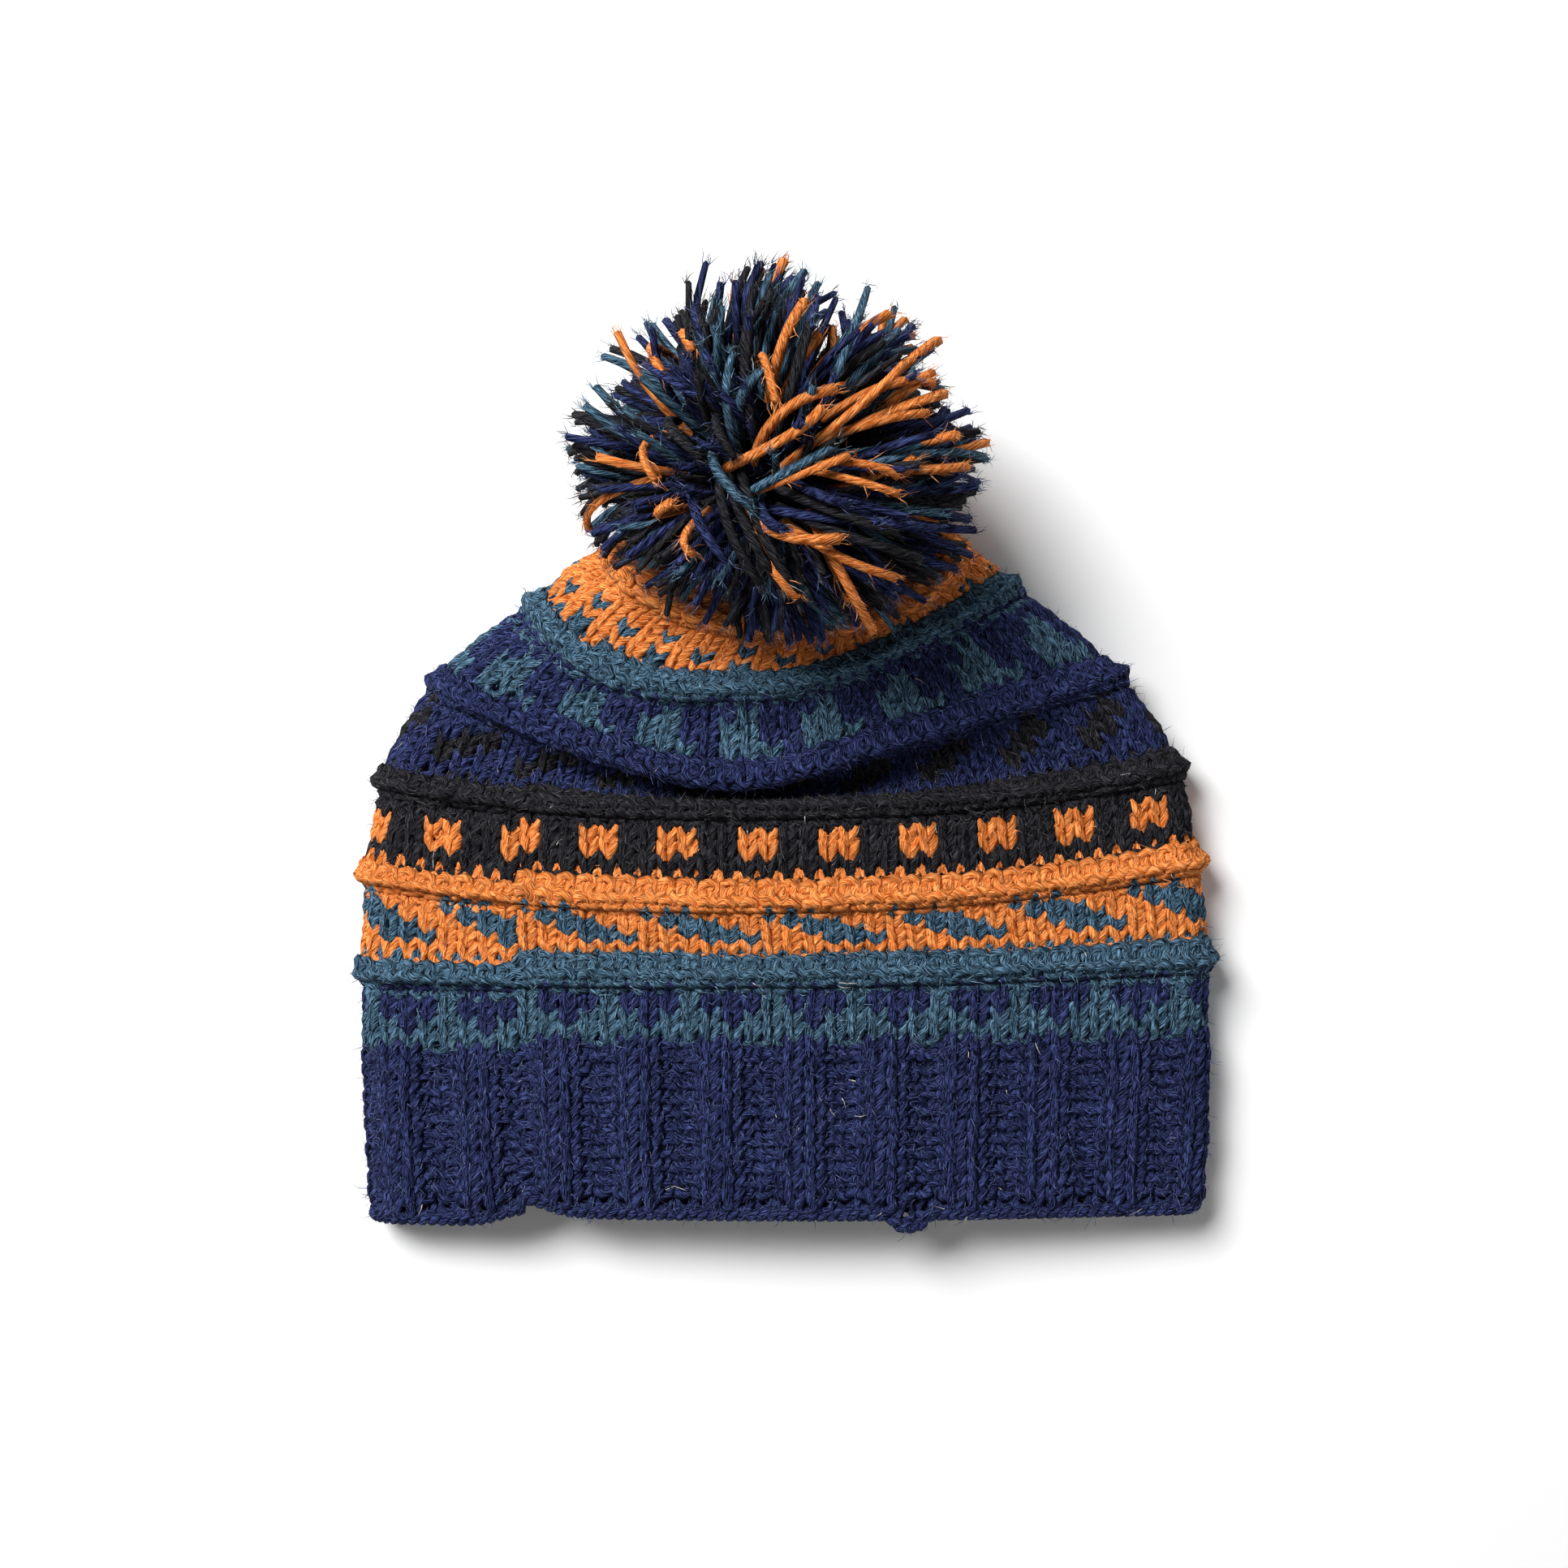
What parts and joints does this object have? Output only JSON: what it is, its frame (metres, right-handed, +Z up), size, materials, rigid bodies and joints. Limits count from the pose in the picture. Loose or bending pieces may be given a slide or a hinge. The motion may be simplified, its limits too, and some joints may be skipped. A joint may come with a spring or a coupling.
{
  "type": "bobble hat",
  "caption": "Hand-knitted wool hat with a ribbed brim, raised purl welts and a cut-yarn pompom, lying flat on its back.",
  "frame": {"origin": "middle of the whole hat's box, on the floor that the hat lies on", "axes": "+Y from the brim to the pompom, +Z up through the front of the hat, +X to the right as seen from above"},
  "size_m": [0.2394, 0.2456, 0.1082],
  "materials": {
    "navy_wool": "matt plied wool yarn, navy",
    "teal_wool": "matt plied wool yarn, teal",
    "orange_wool": "matt plied wool yarn, orange",
    "charcoal_wool": "matt plied wool yarn, charcoal"
  },
  "bodies": {
    "root": {"ribbed_brim": "navy_wool", "patterned_body": "teal_wool", "crown": "orange_wool", "pompom": "charcoal_wool", "pompom_tie": "navy_wool"}
  },
  "joints": []
}
